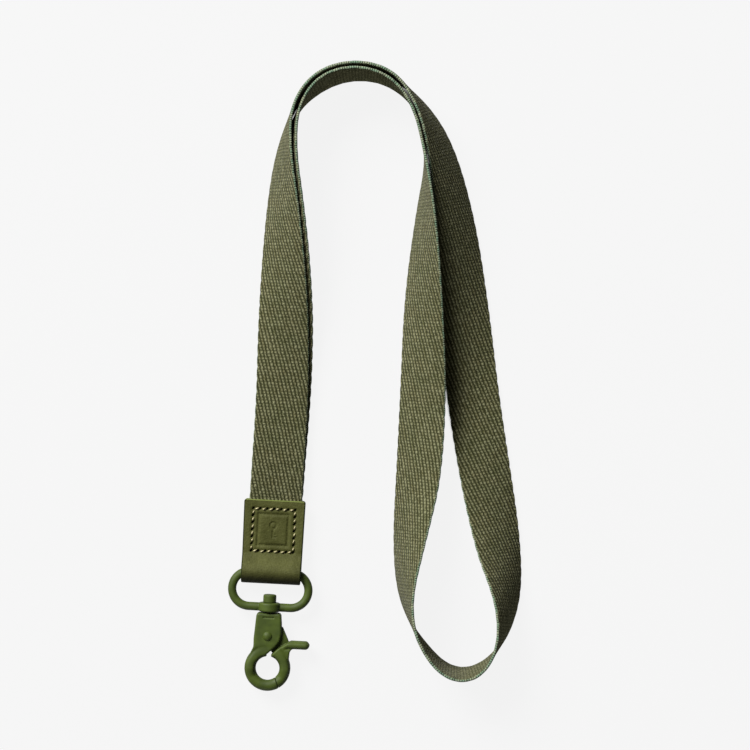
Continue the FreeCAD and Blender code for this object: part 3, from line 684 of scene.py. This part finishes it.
def stitch_vertices(start, end, level, up, dice):
    """One short stitch from hole to hole: a twisted two-ply thread that dips at its ends."""
    middle = Vector(((start[0] + end[0]) / 2, (start[1] + end[1]) / 2))
    along = (Vector(end) - Vector(start)).normalized()
    if along.x < -0.5 or along.y < -0.5:
        along = -along
    turn = math.radians(STITCH_SLANT + dice.uniform(-7, 7)) * (1 if along.x > 0.5 else -1)
    middle += Vector((dice.uniform(-0.1, 0.1), dice.uniform(-0.1, 0.1)))
    along = Vector((along.x * math.cos(turn) - along.y * math.sin(turn),
                    along.x * math.sin(turn) + along.y * math.cos(turn)))
    across = Vector((-along.y, along.x))
    is_row = abs(end[0] - start[0]) > 0.5
    scale = 1.0 if is_row else COLUMN_STITCH
    half = STITCH_HALF_LENGTH * scale * dice.uniform(0.88, 1.12)
    vertices = []
    for i in range(STITCH_RINGS + 1):
        t = -1 + 2 * i / STITCH_RINGS
        spine = middle + along * (half * t)
        lift = level + up * (0.34 - 0.62 * t ** 2)
        size = THREAD_RADIUS * scale * (1 - 0.25 * t ** 2)
        for k in range(STITCH_SIDES):
            angle = 2 * math.pi * k / STITCH_SIDES
            ply = size * (0.8 + 0.2 * abs(math.cos(angle - 2.6 * t)))
            flat = spine + across * (ply * math.cos(angle))
            vertices.append((flat.x * MM, flat.y * MM, (lift + ply * math.sin(angle)) * MM))
    return vertices


def make_stitches(name, level, up, node, material):
    """The box of stitches on one side of the patch; up is 1 for the front and -1 behind."""
    dice = random.Random(5)
    vertices, faces = [], []
    for start, end in zip(HOLES, HOLES[1:] + HOLES[:1]):
        faces += [tuple(k + len(vertices) for k in face)
                  for face in tube_faces(STITCH_RINGS, STITCH_SIDES)]
        vertices += stitch_vertices(start, end, level, up, dice)
    obj = new_object(name, vertices, faces, material)
    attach(obj, "strap")
    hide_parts(node)


# ---------------------------------------------------------------- castings
HOOK_MIDDLE = Vector((0.5, -27.7))
HOOK_WIRE_RADIUS = 6.66
HOOK_WIRE_HALF = 2.13
NOSE = (214, 324)           # where the hook is round wire, degrees round its eye
NOSE_BLEND = 35             # degrees over which it turns from square to round
ROUND_FROM = -18.0          # the rounding starts here and grows downwards
ROUND_OVER = 5.5
ROUND_REACH = 1.5           # in half-thicknesses from the wire's middle
ROUND_FADE = 0.45
LEVER_MIDDLE = -18.4
LEVER_HALF = 1.6
LEVER_TIP = 16.1
TIP_LENGTH = 1.7
PIN_MIDDLE = -15.3
PIN_HEAD_RADIUS = 1.95
PIN_TOP = 3.85
CLASP_HALF_HEIGHT = 3.0
TRIGGER_HALF_HEIGHT = 2.8
# Coil spring, millimetres; it lies along x.
SPRING_SEAT = -4.05
SPRING_Y = -12.0
SPRING_LENGTH = 2.7
SPRING_RADIUS = 0.85
SPRING_WIRE = 0.15
SPRING_TURNS = 4.09
RINGS_PER_TURN = 28
WIRE_SIDES = 10


def oval_pull(out, rise, power):
    """How far a point of a square section moves in towards an oval one, as a factor."""
    reach = max(abs(out), abs(rise))
    if reach < 1e-6:
        return 1.0
    return min(reach / (abs(out) ** power + abs(rise) ** power) ** (1 / power), 1.0)


def round_hook(point, half_height):
    """Moves a point of the square-edged hook, in millimetres, towards an oval wire."""
    flat = Vector((point.x, point.y)) - HOOK_MIDDLE
    angle = math.degrees(math.atan2(flat.y, flat.x)) % 360
    out = (flat.length - HOOK_WIRE_RADIUS) / HOOK_WIRE_HALF
    share = smooth_step((ROUND_FROM - point.y) / ROUND_OVER)
    share *= smooth_step((ROUND_REACH - abs(out)) / ROUND_FADE)
    if share == 0:
        return point
    if NOSE[0] < angle < NOSE[1]:
        reach = max(math.hypot(out, point.z / HOOK_WIRE_HALF), 1.0)
        flat = HOOK_MIDDLE + flat.normalized() * (HOOK_WIRE_RADIUS + out / reach * HOOK_WIRE_HALF)
        return Vector((flat.x, flat.y, point.z / reach))
    rise = point.z / half_height
    from_nose = min(abs(angle - NOSE[0]), abs(angle - NOSE[1]))
    square = smooth_step(from_nose / NOSE_BLEND)
    pull = 1 + (oval_pull(out, rise, 2.0 + 0.7 * square) - 1) * share
    height = HOOK_WIRE_HALF + (half_height - HOOK_WIRE_HALF) * square
    flat = HOOK_MIDDLE + flat.normalized() * (HOOK_WIRE_RADIUS + out * pull * HOOK_WIRE_HALF)
    return Vector((flat.x, flat.y, rise * pull * height))


def round_lever(point, half_height):
    """Turns the thumb lever's square bar into a rounded one with a blunt round tip."""
    share = smooth_step((point.x - 6.0) / 2.5)
    out, rise = (point.y - LEVER_MIDDLE) / LEVER_HALF, point.z / half_height
    if share == 0 or abs(out) > 1.3:
        return point
    pull = 1 + (oval_pull(out, rise, 2.3) - 1) * share
    into_tip = min(max((point.x - LEVER_TIP + TIP_LENGTH) / TIP_LENGTH, 0.0), 1.0)
    pull *= 0.45 + 0.55 * math.sqrt(1 - into_tip ** 2)
    return Vector((point.x, LEVER_MIDDLE + out * pull * LEVER_HALF, rise * pull * half_height))


def dome_head(point, half_height):
    """Raises the rivet's heads into shallow domes."""
    out = math.hypot(point.x, point.y - PIN_MIDDLE) / PIN_HEAD_RADIUS
    if abs(point.z) < half_height - 0.3 or out > 1.05:
        return point
    base = half_height - 0.55
    top = base + (PIN_TOP - base) * math.sqrt(max(1 - out ** 2, 0.0))
    return Vector((point.x, point.y, math.copysign(top, point.z)))


def make_casting(name, node, body, material, shapers=(), rounds=4, voxel=0.16):
    """A copy of a CAD node with the soft edges and even skin of an enamelled casting: a
    voxel skin, this many rounds of smoothing, then the shapers that move its vertices."""
    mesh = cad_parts[node].data.copy()
    obj = bpy.data.objects.new(name, mesh)
    bpy.context.scene.collection.objects.link(obj)
    remesh = obj.modifiers.new("skin", "REMESH")
    remesh.mode = "VOXEL"
    remesh.voxel_size = voxel * MM
    soften = obj.modifiers.new("soften", "SMOOTH")
    soften.factor = 0.5
    soften.iterations = rounds
    graph = bpy.context.evaluated_depsgraph_get()
    skin = bpy.data.meshes.new_from_object(obj.evaluated_get(graph))
    obj.modifiers.clear()
    obj.data = skin
    bpy.data.meshes.remove(mesh)
    axis = Vector((0, 0, AXIS_HEIGHT))
    for shaper, half_height in shapers:
        for vertex in skin.vertices:
            vertex.co = shaper((vertex.co - axis) / MM, half_height) * MM + axis
    for polygon in skin.polygons:
        polygon.use_smooth = True
    skin.materials.clear()
    skin.materials.append(material)
    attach(obj, body)
    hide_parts(node)


def make_spring():
    """The trigger's coil spring."""
    rings = round(SPRING_TURNS * RINGS_PER_TURN)
    vertices = []
    for i in range(rings + 1):
        share = i / rings
        turn = 2 * math.pi * SPRING_TURNS * share
        outward = Vector((0, math.cos(turn), math.sin(turn)))
        spot = Vector((SPRING_LENGTH * share, SPRING_Y, 0)) + outward * SPRING_RADIUS
        spot.x += SPRING_SEAT
        for k in range(WIRE_SIDES):
            angle = 2 * math.pi * k / WIRE_SIDES
            skin = outward * math.cos(angle) + Vector((math.sin(angle), 0, 0))
            vertex = (spot + skin * SPRING_WIRE) * MM
            vertices.append(vertex + Vector((0, 0, AXIS_HEIGHT)))
    faces = tube_faces(rings, WIRE_SIDES)
    obj = new_object("coil_spring", vertices, faces, steel_material())
    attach(obj, "clasp")
    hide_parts("trigger_spring")
    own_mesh(obj)


def make_castings():
    """Every enamelled piece, with the half height in millimetres that its shapers need."""
    paint = paint_material()
    make_casting("enamelled_clasp", "clasp_body", "clasp", paint,
                 [(round_hook, CLASP_HALF_HEIGHT)])
    make_casting("enamelled_trigger", "trigger_lever", "trigger", paint,
                 [(round_hook, TRIGGER_HALF_HEIGHT), (round_lever, TRIGGER_HALF_HEIGHT)])
    make_casting("enamelled_ring", "swivel_ring", "ring", paint, rounds=3)
    make_casting("enamelled_stud", "swivel_stud", "clasp", paint,
                 rounds=3, voxel=0.12)
    make_casting("enamelled_pin", "trigger_pin", "clasp", paint,
                 [(dome_head, CLASP_HALF_HEIGHT)], rounds=2, voxel=0.1)


# ---------------------------------------------------------------- floor, light, camera
# Metres, and degrees for the camera's turn.
FLOOR_HALF = 3.0
FLOOR_GLOW = 0.88
NOOK_REACH = 30 * MM
LIGHT_TARGET = Vector((0.036, 0.086, 0.0))
LIGHT_DISTANCE = 2.0
LIGHT_SIZE = 1.0
WORLD_STRENGTH = 0.12
CAMERA_PLACE = (35.7 * MM, 86.3 * MM, 0.8)
CAMERA_TURN = 3
CAMERA_LENS = 99.84         # millimetres; the picture spans 288 mm at the floor
SENSOR_WIDTH = 36


def make_floor():
    """A white floor that glows evenly, with painted shade only in narrow gaps under the strip."""
    n = Nodes("pale_floor")
    material = n.finish((0.02, 0.02, 0.02, 1.0), 0.9, None, Specular_IOR_Level=0.0)
    n.shader.inputs["Emission Color"].default_value = (1, 1, 1, 1)
    # Painted shade: the glow fades to nothing where an occlusion test finds the floor closely
    # hemmed in.
    nook = n.add("AmbientOcclusion", samples=16)
    nook.inputs["Distance"].default_value = NOOK_REACH
    glow = n.ramp(nook.outputs["AO"], 0.05, 0.16, 0.0, FLOOR_GLOW)
    n.put(glow, n.shader.inputs["Emission Strength"])
    side = FLOOR_HALF
    corners = [(-side, -side, 0), (side, -side, 0), (side, side, 0), (-side, side, 0)]
    floor = new_object("floor", corners, [(0, 1, 2, 3)], material)


def make_light(name, towards, power):
    """A square soft light that shines on the middle of the lanyard; the power is in watts."""
    data = bpy.data.lights.new(name, "AREA")
    data.size = LIGHT_SIZE
    data.energy = power
    lamp = bpy.data.objects.new(name, data)
    direction = Vector(towards).normalized()
    lamp.location = LIGHT_TARGET + direction * LIGHT_DISTANCE
    lamp.rotation_euler = direction.to_track_quat("Z", "Y").to_euler()
    bpy.context.scene.collection.objects.link(lamp)


def make_world():
    world = bpy.data.worlds.new("studio")
    bpy.context.scene.world = world
    world.use_nodes = True
    background = world.node_tree.nodes["Background"]
    background.inputs["Color"].default_value = (1, 1, 1, 1)
    background.inputs["Strength"].default_value = WORLD_STRENGTH


def make_camera():
    """Straight down, turned a little as in the photograph."""
    data = bpy.data.cameras.new("camera")
    data.sensor_width = SENSOR_WIDTH
    data.lens = CAMERA_LENS
    camera = bpy.data.objects.new("camera", data)
    camera.location = CAMERA_PLACE
    camera.rotation_euler = (0, 0, math.radians(CAMERA_TURN))
    bpy.context.scene.collection.objects.link(camera)
    bpy.context.scene.camera = camera


# ---------------------------------------------------------------- the whole scene
make_webbing()
make_leather()
thread = thread_material()
make_stitches("front_stitches", SEWN_TOP, 1, "needle_thread", thread)
make_stitches("back_stitches", BACK_STITCH_LEVEL, -1, "bobbin_thread", thread)
make_castings()
make_spring()
make_floor()
make_light("key", (-0.6, 0.7, 0.68), 136)
make_light("fill", (-0.2, -0.95, 0.3), 9)
make_world()
make_camera()
bpy.context.scene.view_settings.view_transform = "Standard"
